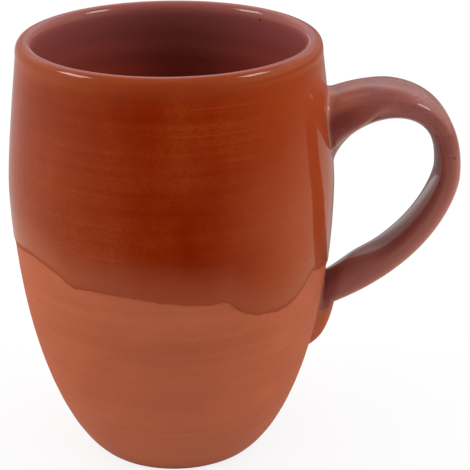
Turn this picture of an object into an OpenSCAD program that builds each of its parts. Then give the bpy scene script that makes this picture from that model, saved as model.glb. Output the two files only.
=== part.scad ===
// Jarrito clay mug: a thrown and glazed half-litre pot with a pulled strap handle.
// Millimetres. The pot's axis is Z, its foot stands on z = 0, and the handle lies along +X.

/* [Pot] */
// Overall height to the crown of the lip, over the glaze
pot_h = 133; // [120:1:165]
// Widest diameter, at the belly, over the glaze
belly_d = 100; // [90:1:125]
// Height of the widest place above the foot
belly_h = 87; // [72:1:98]
// Outside diameter just under the lip, over the glaze
rim_d = 91; // [82:1:98]
// Outside diameter at the foot
foot_d = 57; // [48:1:72]
// Thickness of the clay wall
wall_t = 4.6; // [3.5:0.1:7]
// Height of the rounding over the lip
lip_h = 4; // [2.5:0.5:6]
// Thickness of the floor, from the table to the inside
floor_t = 7; // [5:0.5:11]
// Rounding of the foot's outer edge
foot_edge_r = 0.8; // [0.4:0.1:1.5]

/* [Handle] */
// How far below the crown of the lip the middle of the strap leaves the wall
root_drop = 27; // [23:0.5:34]
// Height where the middle of the strap comes back to the wall
root_low_h = 51.6; // [46:0.2:58]
// How far the middle of the strap stands off the middle of the wall
reach = 39; // [32:0.5:46]
// Width of the strap where it leaves the pot
strap_top_w = 23; // [18:0.5:27]
// Width of the strap at its outermost place
strap_mid_w = 18; // [14:0.5:24]
// Width of the strap at its widest place on the way back to the pot
strap_low_w = 18.5; // [15:0.5:24]
// Width of the strap where it is pinched on to the wall at the bottom
strap_end_w = 11; // [8:0.5:18]
// Thickness of the strap where it leaves the pot
strap_top_t = 16; // [12:0.5:18]
// Thickness of the strap at its outermost place
strap_mid_t = 7; // [5:0.2:10]
// Thickness of the strap where it comes back to the pot
strap_low_t = 8.8; // [7:0.2:12]
// How far the pinched end droops
droop_h = 3; // [0:0.5:5]
// Depth of the thumb groove along the strap's outer face
groove_h = 0.5; // [0:0.1:1]
// Height of the hump inside the loop, where the strap was bent towards its lower end
hump_h = 1.5; // [0:0.1:2.5]

/* [Joints] */
// Thickness of the slip that glues each end of the strap to the wall
slip_t = 0.5; // [0.3:0.1:1]
// How far the wiped collar spreads on the wall to each side of the upper root
collar_side = 1.6; // [0.8:0.1:6]
// How far the collar spreads on the wall above the upper root
collar_up = 2.2; // [0.8:0.1:4]
// How far the collar's web spreads on the wall below the upper root
web_down = 4.5; // [2:0.5:8]
// How far off the wall the collar feathers out on the strap's sides
collar_side_out = 1.8; // [1.2:0.1:6]
// How far off the wall the collar feathers out on top of the strap
collar_top_out = 4; // [2:0.5:6]
// How far off the wall the collar's web feathers out under the strap
web_out = 6.5; // [4:0.5:9]
// Length of the thumbed tail below the lower root
tail_l = 16; // [10:0.5:24]
// How far the tail stands proud of the wall at its top
tail_t = 5; // [2.5:0.1:6]
// How far the tail's clay spreads beside and above the lower root
tail_side = 0.9; // [0.5:0.1:3]

/* [Glaze] */
// Thickness of the glaze
glaze_t = 0.35; // [0.2:0.05:0.6]
// Middle height of the glaze's lower line on the outside
line_h = 68; // [62:1:76]
// Height of that line's largest wave
line_wave = 8; // [2:0.5:10]

/* [Hidden] */
$fn = 96;

clay_red = [0.72, 0.40, 0.29];
slip_red = [0.60, 0.30, 0.20];
glaze_red = [0.55, 0.20, 0.08];
glaze_dark = [0.38, 0.15, 0.11];

// Counts of steps along each curve
wall_steps = 13;
lip_steps = 7;
floor_steps = 8;
strap_sides = 24;
strap_steps = 32;
root_steps = 5;
fillet_steps = 6;
seek_steps = 26;
line_steps = 72;

// Small overrun of each cut
over = 1;

// The clay under the glaze
clay_h = pot_h - glaze_t;
clay_belly_r = belly_d / 2 - glaze_t;
clay_rim_r = rim_d / 2 - glaze_t;
foot_r = foot_d / 2;
lip_base_h = clay_h - lip_h;
lip_mid_r = clay_rim_r - wall_t / 2;
neck_h = lip_base_h - belly_h;

// Shares of the spans between foot, belly and lip that draw the outside of the wall
foot_out_share = 0.426;
foot_up_share = 0.099;
belly_down_share = 0.548;
belly_up_share = 0.197;
rim_out_share = 0.429;
rim_down_share = 0.339;
// Share of the height at which the inside leaves the wall for the floor, and that curve's pulls
floor_bend_share = 0.16;
floor_side_share = 0.45;
floor_flat_share = 0.62;

// Shares of the loop that draw the middle line of the strap
leave_out_share = 0.34;
leave_up_share = 0.225;
shoulder_share = 0.5;
hip_share = 0.127;
return_out_share = 0.78;
return_up_share = 0.155;
// Height of the strap's outermost place, as a share of the loop
apex_share = 0.73;
// Share of the stretch back down over which the strap is pinched
pinch_share = 0.4;
// Share of that stretch at which the hump lies, and the share that it spreads over
hump_at_share = 0.815;
hump_spread_share = 0.065;
// Roundness of the strap's section: 2 is an ellipse
section_power = 2.4;
groove_power = 6;
// Bounds of the search for the strap's ends, counted along the two curves of its middle line
search_top = [-0.5, 0.5];
search_low = [2.4, 1.5];

// Shares that shape the collar and the tail: how far round the underside the web begins and is full
web_from_share = 0.6;
web_full_share = 0.97;
collar_power = 0.5;
tail_crotch_share = 0.2;
tail_side_share = 0.45;
tail_taper_share = 0.3;
tail_hold_share = 0.7;
tail_end_share = 0.16;
tail_end_out_share = 0.75;

// Azimuth from the handle, and height of the glaze's line there as a share of the wave
line_shares = [
    [0, -0.7], [12, -0.6], [30, -0.1], [60, 0.35], [95, 0.1], [130, 0.45], [165, 0.7], [200, 0.6],
    [217, 0.85], [230, 0.62], [237, 0.2], [243, 0.34], [258, 0.3], [275, 0.06], [290, 0],
    [296, -0.5], [304, -0.86], [313, -1], [321, -0.72], [328, 0], [336, -0.25], [348, -0.6],
    [360, -0.7]
];

// Curves
function mix(a, b, s) = a + (b - a) * s;
function bend2(p, s) = mix(mix(p[0], p[1], s), mix(p[1], p[2], s), s);
function bend3(p, s) = mix(bend2([p[0], p[1], p[2]], s), bend2([p[1], p[2], p[3]], s), s);
function slope3(p, s) = 3 * bend2([p[1] - p[0], p[2] - p[1], p[3] - p[2]], s);
function unit2(v) = v / norm(v);
function power(v, p) = sign(v) * pow(abs(v), p);
function ease(x, low, high) = let (s = min(max((x - low) / (high - low), 0), 1)) s * s * (3 - 2 * s);
function bell(x, place, spread) = exp(-pow((x - place) / spread, 2) / 2);

// Outside of the clay wall, from the foot to the belly and from the belly to the lip
low_curve = [
    [foot_r, 0],
    [mix(foot_r, clay_belly_r, foot_out_share), foot_up_share * belly_h],
    [clay_belly_r, (1 - belly_down_share) * belly_h],
    [clay_belly_r, belly_h]
];
high_curve = [
    [clay_belly_r, belly_h],
    [clay_belly_r, belly_h + belly_up_share * neck_h],
    [mix(clay_rim_r, clay_belly_r, rim_out_share), lip_base_h - rim_down_share * neck_h],
    [clay_rim_r, lip_base_h]
];
function outward(v) = unit2([v[1], -v[0]]);
wall_line = concat(
    [for (i = [0 : wall_steps]) bend3(low_curve, i / wall_steps)],
    [for (i = [1 : wall_steps]) bend3(high_curve, i / wall_steps)]
);
wall_out = concat(
    [for (i = [0 : wall_steps]) outward(slope3(low_curve, i / wall_steps))],
    [for (i = [1 : wall_steps]) outward(slope3(high_curve, i / wall_steps))]
);
last = 2 * wall_steps;
wall_by_height = [for (p = wall_line) [p[1], p[0]]];

// The wall moved by d along its outward side, and the lip grown by d
function wall_at(i, d) = wall_line[i] + d * wall_out[i];
function lip_at(a, d) = [lip_mid_r + (wall_t / 2 + d) * cos(a), lip_base_h + (lip_h + d) * sin(a)];
function outer_lip(d) = [for (i = [0 : lip_steps]) lip_at(90 * i / lip_steps, d)];
function inner_lip(d) = [for (i = [0 : lip_steps]) lip_at(90 + 90 * i / lip_steps, d)];

// Inside of the pot from the lip to the middle of the floor, raised by d off the clay
floor_bend_h = floor_bend_share * pot_h;
inner_rows = [for (i = [last - 1 : -1 : 0]) if (wall_line[i][1] > floor_bend_h) i];
first_row = inner_rows[len(inner_rows) - 1];
function floor_curve(d) =
    let (start = wall_at(first_row, -wall_t - d), drop = start[1] - floor_t - d)
    let (down = [wall_out[first_row][1], -wall_out[first_row][0]])
    [
        start,
        start + floor_side_share * drop * down,
        [floor_flat_share * start[0], floor_t + d],
        [0, floor_t + d]
    ];
function inside_line(d) = concat(
    [for (i = inner_rows) wall_at(i, -wall_t - d)],
    [for (i = [1 : floor_steps]) bend3(floor_curve(d), i / floor_steps)]
);

// Radius of the clay at a height, place on the wall for a side offset and height, and distance off it
function clay_r(z) = lookup(z, wall_by_height);
function wall_x(y, z) = sqrt(pow(clay_r(z), 2) - y * y);
function off_wall(p) = p[0] - wall_x(p[1], p[2]);
function on_wall(q) = [wall_x(q[0], q[1]) + q[2], q[0], q[1]];
function wall_place(p) = [p[1], p[2], off_wall(p)];

// Middle line of the strap: 0 to 1 is the shoulder, 1 to 2 the stretch back down
root_top_h = pot_h - root_drop;
loop_h = root_top_h - root_low_h;
reach_h = root_low_h + apex_share * loop_h;
top_r = clay_r(root_top_h) - wall_t / 2;
low_r = clay_r(root_low_h) - wall_t / 2;
out_r = top_r + reach;
shoulder_curve = [
    [top_r, root_top_h],
    [top_r + leave_out_share * reach, root_top_h + leave_up_share * loop_h],
    [out_r, reach_h + shoulder_share * loop_h],
    [out_r, reach_h]
];
return_curve = [
    [out_r, reach_h],
    [out_r, reach_h - hip_share * loop_h],
    [mix(low_r, out_r, return_out_share), root_low_h + return_up_share * loop_h],
    [low_r, root_low_h]
];
function within(t) = min(max(t, 0), 2);
function pinched(t) = max(t - 2 + pinch_share, 0) / pinch_share;
function middle(t) = [0, -droop_h * pow(pinched(t), 2)] + (
    t < 0 ? shoulder_curve[0] + t * slope3(shoulder_curve, 0) :
    t < 1 ? bend3(shoulder_curve, t) :
    t < 2 ? bend3(return_curve, t - 1) :
    return_curve[3] + (t - 2) * slope3(return_curve, 1)
);
function heading(t) = unit2(
    [0, -2 * droop_h / pinch_share * pinched(t)] + (
        t < 0 ? slope3(shoulder_curve, 0) :
        t < 1 ? slope3(shoulder_curve, t) :
        t < 2 ? slope3(return_curve, t - 1) :
        slope3(return_curve, 1)
    )
);
function strap_t(t) = let (k = within(t))
    k < 1 ? mix(strap_mid_t, strap_top_t, pow(1 - k, 2)) : mix(strap_mid_t, strap_low_t, pow(k - 1, 2));
function strap_w(t) = let (k = within(t))
    k < 1 ? mix(strap_top_w, strap_mid_w, k) :
    mix(strap_mid_w, strap_low_w, k - 1) - (strap_low_w - strap_end_w) * pow(pinched(k), 2);

// A point of the strap's skin, d off the clay, at the angle a round the section
function strap_skin(t, a, d) =
    let (m = middle(t), h = heading(t), side = power(cos(a), 2 / section_power))
    let (face = power(sin(a), 2 / section_power))
    let (dip = groove_h * pow(max(sin(a), 0), groove_power))
    let (hump = hump_h * bell(t - 1, hump_at_share, hump_spread_share) * max(-sin(a), 0))
    let (out = (strap_t(t) / 2 + d + hump) * face - dip)
    [m[0] - h[1] * out, (strap_w(t) / 2 + d) * side, m[1] + h[0] * out];
function seek(a, gap, d, from, to, n) = let (t = (from + to) / 2)
    n == 0 ? t :
    off_wall(strap_skin(t, a, d)) < gap ? seek(a, gap, d, t, to, n - 1) :
    seek(a, gap, d, from, t, n - 1);
function seek_top(a, gap, d) = seek(a, gap, d, search_top[0], search_top[1], seek_steps);
function seek_low(a, gap, d) = seek(a, gap, d, search_low[0], search_low[1], seek_steps);

// Where the collar and the tail feather out on the strap, as distances off the wall
function web(a) = ease(-sin(a), web_from_share, web_full_share);
function collar_gap(a) = mix(mix(collar_side_out, web_out, web(a)), collar_top_out, max(sin(a), 0));
function tail_gap(a) = tail_t * (
    sin(a) > 0 ? mix(tail_side_share, 1, sin(a)) : mix(tail_side_share, tail_crotch_share, -sin(a))
);

// Each strand along the strap: its places at the wall, at the collar's edge and at the tail's edge
strands = [for (i = [0 : strap_sides - 1]) 360 * i / strap_sides];
ends = [
    for (a = strands)
    [
        seek_top(a, slip_t, 0),
        seek_top(a, collar_gap(a), 0),
        seek_low(a, tail_gap(a), 0),
        seek_low(a, slip_t, 0)
    ]
];
function run(i, from, to, steps, d) =
    [for (k = [0 : steps]) strap_skin(mix(ends[i][from], ends[i][to], k / steps), strands[i], d)];

// Outlines on the wall, as side offset, height and distance off the wall
function root_at(i, end) = wall_place(strap_skin(ends[i][end], strands[i], 0));
upper_root = [for (i = [0 : strap_sides - 1]) root_at(i, 0)];
lower_root = [for (i = [0 : strap_sides - 1]) root_at(i, 3)];
function flat(q, d) = [q[0], q[1], d];
function collar_edge(i) = let (q = upper_root[i], a = strands[i])
    let (spread = sin(a) > 0 ? collar_up : mix(collar_side, web_down, web(a)))
    [q[0] + collar_side * power(cos(a), collar_power), q[1] + spread * sin(a), 0];
function tail_edge(i) = let (q = lower_root[i], a = strands[i], s = max(sin(a), 0))
    [
        (q[0] + tail_side * cos(a)) * (1 - tail_taper_share * s),
        q[1] - (sin(a) > 0 ? tail_l : tail_side) * sin(a),
        0
    ];

// The collar's skin is concave and the tail's skin bulges; both run from the strap to the wall
function collar_skin(i, d) =
    let (a = strands[i], tip = wall_place(strap_skin(ends[i][1], a, d)))
    let (corner = wall_place(strap_skin(seek_top(a, d, d), a, d)), foot = flat(collar_edge(i), d))
    [for (k = [0 : fillet_steps]) on_wall(bend2([tip, corner, foot], k / fillet_steps))];
function tail_skin(i) =
    let (a = strands[i], s = max(sin(a), 0), tip = wall_place(strap_skin(ends[i][2], a, 0)))
    let (corner = flat(lower_root[i], 0), foot = tail_edge(i))
    let (held = mix(tip, foot, tail_hold_share), end = mix(foot, tip, tail_end_share))
    let (hold = mix(corner, flat(held, tail_t), s))
    let (lift = mix(corner, flat(end, tail_end_out_share * tail_t), s))
    [for (k = [0 : fillet_steps]) on_wall(bend3([tip, hold, lift, foot], k / fillet_steps))];

// Middle of an outline
function centre(ring) = [for (k = [0 : 2]) [for (q = ring) q[k]] * [for (q = ring) 1 / len(ring)]];

// Solids from rings of points. A tube is closed by a point at each end; a hoop closes on itself
function quad(a, b, c, d) = [[a, b, c], [a, c, d]];
module tube(rings, first, final) {
    n = len(rings[0]);
    m = len(rings);
    points = concat([first], [for (r = rings) each r], [final]);
    faces = concat(
        [for (j = [0 : n - 1]) [0, 1 + j, 1 + (j + 1) % n]],
        [
            for (i = [0 : m - 2], j = [0 : n - 1])
            let (p = 1 + i * n + j, q = 1 + i * n + (j + 1) % n)
            each quad(p, p + n, q + n, q)
        ],
        [for (j = [0 : n - 1]) let (p = 1 + (m - 1) * n) [1 + m * n, p + (j + 1) % n, p + j]]
    );
    polyhedron(points, faces);
}
module hoop(loops) {
    n = len(loops[0]);
    m = len(loops);
    points = [for (l = loops) each l];
    faces = [
        for (i = [0 : m - 1], j = [0 : n - 1])
        let (a = i * n, b = ((i + 1) % m) * n, k = (j + 1) % n)
        each quad(a + j, b + j, b + k, a + k)
    ];
    polyhedron(points, faces);
}
function across(rows) = [for (j = [0 : len(rows[0]) - 1]) [for (r = rows) r[j]]];

// Rings that close an end of the strap on the wall, from its middle outwards
function cap(ring, d) = let (c = centre(ring))
    [for (s = [1 / 3, 2 / 3]) [for (q = ring) on_wall(flat(mix(c, q, s), d))]];
function reversed(list) = [for (i = [len(list) - 1 : -1 : 0]) list[i]];
function rest(list) = [for (i = [1 : len(list) - 1]) list[i]];

module pot_body() {
    color(clay_red)
    rotate_extrude()
    polygon(concat(
        [[0, 0], [foot_r - foot_edge_r, 0], [clay_r(foot_edge_r), foot_edge_r]],
        [for (i = [1 : last - 1]) wall_line[i]],
        outer_lip(0),
        rest(inner_lip(0)),
        inside_line(0)
    ));
}

module inside_glaze() {
    color(glaze_dark)
    rotate_extrude()
    polygon(concat(
        inner_lip(0),
        inside_line(0),
        reversed(inside_line(glaze_t)),
        reversed(inner_lip(glaze_t))
    ));
}

module outside_glaze() {
    low_h = line_h - line_wave - belly_h / wall_steps;
    glazed_rows = [for (i = [0 : last - 1]) if (wall_line[i][1] > low_h) i];
    color(glaze_red)
    difference() {
        rotate_extrude()
        polygon(concat(
            [for (i = glazed_rows) wall_at(i, 0)],
            outer_lip(0),
            reversed(outer_lip(glaze_t)),
            [for (i = reversed(glazed_rows)) wall_at(i, glaze_t)]
        ));
        below_line();
        footprint([for (i = [0 : strap_sides - 1]) collar_edge(i)]);
        footprint([for (i = [0 : strap_sides - 1]) tail_edge(i)]);
    }
}

// Everything below the wavy edge of the glaze, between two radii either side of the wall
module below_line() {
    near_r = clay_rim_r - wall_t - line_wave;
    far_r = belly_d / 2 + line_wave;
    hoop([
        for (i = [0 : line_steps - 1])
        let (a = 360 * i / line_steps, z = line_h + line_wave * lookup(a, line_shares))
        [
            [near_r * cos(a), near_r * sin(a), 0],
            [near_r * cos(a), near_r * sin(a), z],
            [far_r * cos(a), far_r * sin(a), z],
            [far_r * cos(a), far_r * sin(a), 0]
        ]
    ]);
}

// A punch along X with the outline that a root covers on the wall
module footprint(ring) {
    rotate([90, 0, 90])
    linear_extrude(belly_d / 2 + over)
    polygon([for (q = ring) [q[0], q[1]]]);
}

module handle_strap() {
    rings = across([
        for (i = [0 : strap_sides - 1])
        concat(
            run(i, 0, 1, root_steps, 0),
            rest(run(i, 1, 2, strap_steps, 0)),
            rest(run(i, 2, 3, root_steps, 0))
        )
    ]);
    color(clay_red)
    tube(
        concat(cap(upper_root, slip_t), rings, reversed(cap(lower_root, slip_t))),
        on_wall(flat(centre(upper_root), slip_t)),
        on_wall(flat(centre(lower_root), slip_t))
    );
}

// A pad of slip, the size of the strap's end, bent to the wall
module slip_pad(ring) {
    c = centre(ring);
    color(slip_red)
    tube(
        concat(
            cap(ring, 0),
            [[for (q = ring) on_wall(flat(q, 0))]],
            [[for (q = ring) on_wall(flat(q, slip_t))]],
            reversed(cap(ring, slip_t))
        ),
        on_wall(flat(c, 0)),
        on_wall(flat(c, slip_t))
    );
}
module upper_slip_joint() {
    slip_pad(upper_root);
}
module lower_slip_joint() {
    slip_pad(reversed(lower_root));
}

// A band of clay round a root: up the strap, down its own skin and back along the wall
module root_band(ring, strand, skin) {
    color(clay_red)
    hoop([
        for (i = [0 : strap_sides - 1])
        concat(
            [on_wall(flat(ring[i], 0))],
            strand[i],
            rest(skin[i]),
            [on_wall(mix(wall_place(skin[i][fillet_steps]), flat(ring[i], 0), 1 / 2))]
        )
    ]);
}
module upper_root_collar() {
    root_band(
        upper_root,
        [for (i = [0 : strap_sides - 1]) run(i, 0, 1, root_steps, 0)],
        [for (i = [0 : strap_sides - 1]) collar_skin(i, 0)]
    );
}
module lower_root_tail() {
    root_band(
        reversed(lower_root),
        [for (i = [strap_sides - 1 : -1 : 0]) run(i, 3, 2, root_steps, 0)],
        [for (i = [strap_sides - 1 : -1 : 0]) tail_skin(i)]
    );
}

module handle_glaze() {
    color(glaze_dark)
    hoop([
        for (i = [0 : strap_sides - 1])
        concat(
            reversed(collar_skin(i, 0)),
            rest(run(i, 1, 2, strap_steps, 0)),
            reversed(run(i, 1, 2, strap_steps, glaze_t)),
            rest(collar_skin(i, glaze_t))
        )
    ]);
}

pot_body();
handle_strap();
upper_slip_joint();
lower_slip_joint();
upper_root_collar();
lower_root_tail();
inside_glaze();
outside_glaze();
handle_glaze();
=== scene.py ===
import math

import bpy
import numpy as np
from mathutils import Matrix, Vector


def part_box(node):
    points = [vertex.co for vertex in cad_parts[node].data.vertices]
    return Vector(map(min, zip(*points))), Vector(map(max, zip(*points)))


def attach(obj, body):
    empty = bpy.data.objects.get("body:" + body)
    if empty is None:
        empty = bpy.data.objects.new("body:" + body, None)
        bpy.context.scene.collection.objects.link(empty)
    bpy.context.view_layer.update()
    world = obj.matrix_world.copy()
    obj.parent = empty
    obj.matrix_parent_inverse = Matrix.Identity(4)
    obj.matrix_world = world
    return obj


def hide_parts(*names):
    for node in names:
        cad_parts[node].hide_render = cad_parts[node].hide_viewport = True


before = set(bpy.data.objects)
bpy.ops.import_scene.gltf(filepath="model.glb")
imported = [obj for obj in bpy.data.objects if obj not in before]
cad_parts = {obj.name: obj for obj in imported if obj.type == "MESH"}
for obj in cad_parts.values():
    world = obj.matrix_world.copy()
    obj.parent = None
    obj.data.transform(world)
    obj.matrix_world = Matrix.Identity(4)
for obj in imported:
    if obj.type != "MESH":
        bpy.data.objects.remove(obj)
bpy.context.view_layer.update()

# Looks of the jarrito clay mug: a thrown pot, its clear glaze and its pulled strap handle.
# Lengths are millimetres in the row's frame: the pot's axis is Z, its foot stands on z = 0 and the handle
# lies along +X. They become metres when a mesh is made. Azimuths are degrees, counted from the handle.
MM = 0.001


def mm_box(node):
    """Lowest and highest corner of a CAD node, in millimetres."""
    low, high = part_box(node)
    return np.array(low) / MM, np.array(high) / MM


# The pot, from the frame and from the shares that draw its outside
CLAY_TOP = mm_box("pot_body")[1][2]
CLAY_BELLY_R = mm_box("pot_body")[1][1]
GLAZE_T = mm_box("outside_glaze")[1][2] - CLAY_TOP
WALL_T = CLAY_BELLY_R - mm_box("inside_glaze")[1][1]
FLOOR_T = mm_box("inside_glaze")[0][2]
BELLY_H = 87.0
RIM_R = 45.5
FOOT_R = 28.5
LIP_H = 4.0
FOOT_EDGE_R = 0.8
FOOT_OUT_SHARE = 0.426
FOOT_UP_SHARE = 0.099
BELLY_DOWN_SHARE = 0.548
BELLY_UP_SHARE = 0.197
RIM_OUT_SHARE = 0.429
RIM_DOWN_SHARE = 0.339
FLOOR_BEND_SHARE = 0.16
FLOOR_SIDE_SHARE = 0.45
FLOOR_FLAT_SHARE = 0.62
# Power of the lip's section: 2 is an ellipse, and more is squarer
LIP_POWER = 2.6

# Relief of the hand-thrown clay. Each kind of turning line has a pitch, a depth, and a drift of its phase in
# radians, over a height
RING_PITCH, RING_DEPTH, RING_DRIFT, RING_DRIFT_H = 7.3, 0.04, 0.8, 17.0
FINE_PITCH, FINE_DEPTH, FINE_DRIFT, FINE_DRIFT_H = 2.3, 0.012, 1.7, 5.3
INSIDE_PITCH, INSIDE_DEPTH, INSIDE_DRIFT, INSIDE_DRIFT_H = 8.5, 0.22, 0.6, 13.0
# The rings swell and fade with the height, and the wall sways off round in two ways
RING_SHARE, RING_SWELL_H = 0.55, 11.0
SWAY, OVAL_TURN_H, TRIPLE_TURN_H = 0.06, 40.0, 23.0
# Heights under the lip over which the relief ends outside and inside, and radii over which it sets in on
# the floor
RELIEF_END_H, INSIDE_END_H = 6.0, 8.0
INSIDE_START_R = (4.0, 20.0)

# The strap of the handle
ROOT_TOP_H = 106.0
ROOT_LOW_H = 51.6
REACH = 39.0
APEX_SHARE = 0.73
TOP_W, MID_W, LOW_W, END_W = 23.0, 18.0, 18.5, 11.0
TOP_T, MID_T, LOW_T = 16.0, 7.0, 8.8
DROOP_H = 3.0
GROOVE_H = 0.5
LEAVE_OUT_SHARE = 0.34
LEAVE_UP_SHARE = 0.225
SHOULDER_SHARE = 0.5
HIP_SHARE = 0.127
RETURN_OUT_SHARE = 0.78
RETURN_UP_SHARE = 0.155
PINCH_SHARE = 0.4
SECTION_POWER = 2.4
GROOVE_POWER = 6
SLIP_T = 0.5
# Places along the strap, inside the wall and outside it, between which each strand meets the wall. They are
# sought by halving
TOP_ENDS, LOW_ENDS = (-0.5, 0.5), (2.4, 1.5)
HALVINGS = 26

# The hump inside the loop, where the strap was bent towards its lower end
HUMP_H = 1.5
HUMP_AT_SHARE = 0.815
HUMP_SPREAD_SHARE = 0.065

# Marks of the hand on the strap: a groove along each upper shoulder, a ridge further along on each side, and
# a fold under the upper root. Each has a height, degrees round the section from its outer face, a width in
# degrees, and where it sets in and ends along the strap, which runs from 0 to 2
DENT_H, DENT_AT, DENT_W = 0.45, 38.0, 9.0
DENT_START, DENT_END = (0.1, 0.2), (0.25, 0.42)
RIDGE_H, RIDGE_AT, RIDGE_W = 0.4, 72.0, 9.0
RIDGE_START, RIDGE_END = (0.38, 0.55), (0.7, 0.9)
FOLD_H, FOLD_AT, FOLD_SIDE_AT, FOLD_W = 0.6, 119.0, 93.0, 5.0
FOLD_TURN, FOLD_END = (0.16, 0.38), (0.3, 0.5)

# The collar round the upper root: a narrow fillet at the sides, a wider one on top and a web underneath
COLLAR_SIDE, COLLAR_UP, COLLAR_DOWN = 1.6, 2.2, 4.5
SIDE_OUT, TOP_OUT, WEB_OUT = 1.8, 4.0, 6.5
WEB_FROM, WEB_FULL = 0.6, 0.97
COLLAR_POWER = 0.5

# The tail under the lower root
TAIL_L, TAIL_T, TAIL_SIDE = 16.0, 5.0, 0.9
TAIL_CROTCH_SHARE = 0.2
TAIL_SIDE_SHARE = 0.45
TAIL_TAPER_SHARE = 0.3
TAIL_HOLD_SHARE = 0.7
TAIL_END_SHARE = 0.16
TAIL_END_OUT_SHARE = 0.75

# The glaze's lower line on the tail: its height on the tail's back, and how far it drops at the sides
TAIL_LINE_H = 52.0
TAIL_LINE_DROP = 9.0
TAIL_LINE_POWER = 1.5

# The lower edge of the outside glaze: azimuth, and height as a share of the wave
LINE_H = 68.0
LINE_WAVE = 8.0
LINE_SHARES = [
    (0, -0.7), (12, -0.6), (30, -0.1), (60, 0.35), (95, 0.1), (130, 0.45), (165, 0.7), (202, 0.62),
    (210, 0.78), (217, 0.85), (224, 0.74), (229, 0.64), (233, 0.45), (237, 0.2), (240, 0.3),
    (243, 0.34), (252, 0.32), (260, 0.28), (268, 0.15), (275, 0.06), (283, -0.03), (287, -0.02),
    (290, 0.03), (291.5, -0.05), (292.5, -0.2), (294.5, -0.4), (297, -0.6), (301, -0.79),
    (307, -0.91), (313, -0.98), (318, -0.87), (322, -0.67), (325, -0.44), (327.5, -0.15), (329, 0),
    (336, -0.25), (343, -0.42), (348, -0.6), (360, -0.7),
]
# It is rounded over this many half degrees to each side, with this spread
LINE_ROUND, LINE_SPREAD = 8, 2.2
# Its ripples: height, waves round the pot and phase. The first of them comes and goes
RIPPLES = ((0.10, 47, 1), (0.07, 83, 0), (0.05, 131, 2))
RIPPLE_SWELLS = 5

# Counts of steps in the curves and meshes
WALL_STEPS = 600
COLUMNS = 480
STRANDS = 96
TAIL_STEPS = 80
HIDDEN_STEPS, SEEN_STEPS = (22, 12), (80, 44)


# Curves
def mix(a, b, s):
    return a + (b - a) * s


def ease(x, low, high):
    """0 below low, 1 above high and smooth between them."""
    s = np.clip((x - low) / (high - low), 0, 1)
    return s * s * (3 - 2 * s)


def bell(x, middle_at, width):
    return np.exp(-0.5 * ((x - middle_at) / width) ** 2)


def wave(phase):
    """0 to 1 and back in each turn of the phase, which is in radians."""
    return 0.5 - 0.5 * np.cos(phase)


def bend(points, s):
    """A Bezier curve through 3 or 4 control points, at each value of s."""
    s = np.asarray(s, float)[..., None]
    p = [np.asarray(q, float) for q in points]
    while len(p) > 1:
        p = [a + (b - a) * s for a, b in zip(p, p[1:])]
    return p[0]


def slope(points, s):
    p = [np.asarray(q, float) for q in points]
    return (len(p) - 1) * bend([b - a for a, b in zip(p, p[1:])], s)


def unit(v):
    return v / np.linalg.norm(v, axis=-1, keepdims=True)


def power(v, p):
    return np.sign(v) * np.abs(v) ** p


# Outside of the clay wall, by height
rim_r = RIM_R - GLAZE_T
lip_base = CLAY_TOP - LIP_H
neck_h = lip_base - BELLY_H
low_curve = [
    (FOOT_R, 0),
    (mix(FOOT_R, CLAY_BELLY_R, FOOT_OUT_SHARE), FOOT_UP_SHARE * BELLY_H),
    (CLAY_BELLY_R, (1 - BELLY_DOWN_SHARE) * BELLY_H),
    (CLAY_BELLY_R, BELLY_H),
]
high_curve = [
    (CLAY_BELLY_R, BELLY_H),
    (CLAY_BELLY_R, BELLY_H + BELLY_UP_SHARE * neck_h),
    (mix(rim_r, CLAY_BELLY_R, RIM_OUT_SHARE), lip_base - RIM_DOWN_SHARE * neck_h),
    (rim_r, lip_base),
]
fine = np.linspace(0, 1, WALL_STEPS)
wall_line = np.vstack([bend(low_curve, fine), bend(high_curve, fine)[1:]])
wall_way = unit(np.vstack([slope(low_curve, fine), slope(high_curve, fine)[1:]]))


def wall_r(z):
    return np.interp(z, wall_line[:, 1], wall_line[:, 0])


def wall_out(z):
    """Outward side of the wall at a height, as (radial, up)."""
    way_out = np.interp(z, wall_line[:, 1], wall_way[:, 0])
    way_up = np.interp(z, wall_line[:, 1], wall_way[:, 1])
    return way_up, -way_out


def turned(azimuth, r, z):
    """Points of a turned surface from azimuths, radii and heights that broadcast together."""
    a = np.radians(azimuth)
    r, z, a = np.broadcast_arrays(r, z, a)
    return np.stack([r * np.cos(a), r * np.sin(a), z], axis=-1)


def on_pot(azimuth, z, d):
    """Points d off the outside of the clay."""
    out, up = wall_out(z)
    return turned(azimuth, wall_r(z) + d * out, z + d * up)


def turning_lines(z, climbed, pitch, drift, drift_h):
    """Lines round the pot, 0 to 1 and back once in a pitch."""
    return wave(2 * math.pi * climbed / pitch + drift * np.sin(z / drift_h))


def thrown(azimuth, z):
    """Relief of the outside of the clay along its outward side, never above zero, ending under the lip."""
    a = np.radians(azimuth)
    climbed = z + RING_PITCH * a / (2 * math.pi)
    ring = RING_DEPTH * turning_lines(z, climbed, RING_PITCH, RING_DRIFT, RING_DRIFT_H)
    swell = RING_SHARE + (1 - RING_SHARE) * np.sin(z / RING_SWELL_H + 1)
    line = FINE_DEPTH * turning_lines(z, climbed, FINE_PITCH, FINE_DRIFT, FINE_DRIFT_H)
    sway = SWAY * wave(2 * a + z / OVAL_TURN_H) + SWAY / 2 * wave(3 * a - z / TRIPLE_TURN_H)
    return (-ring * swell - line - sway) * (1 - ease(z, lip_base - RELIEF_END_H, lip_base))


def thrown_inside(azimuth, z):
    """Height of the turning lines inside, which wind the other way."""
    a = np.radians(azimuth)
    fallen = z - INSIDE_PITCH * a / (2 * math.pi)
    return INSIDE_DEPTH * turning_lines(z, fallen, INSIDE_PITCH, INSIDE_DRIFT, INSIDE_DRIFT_H)


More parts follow.
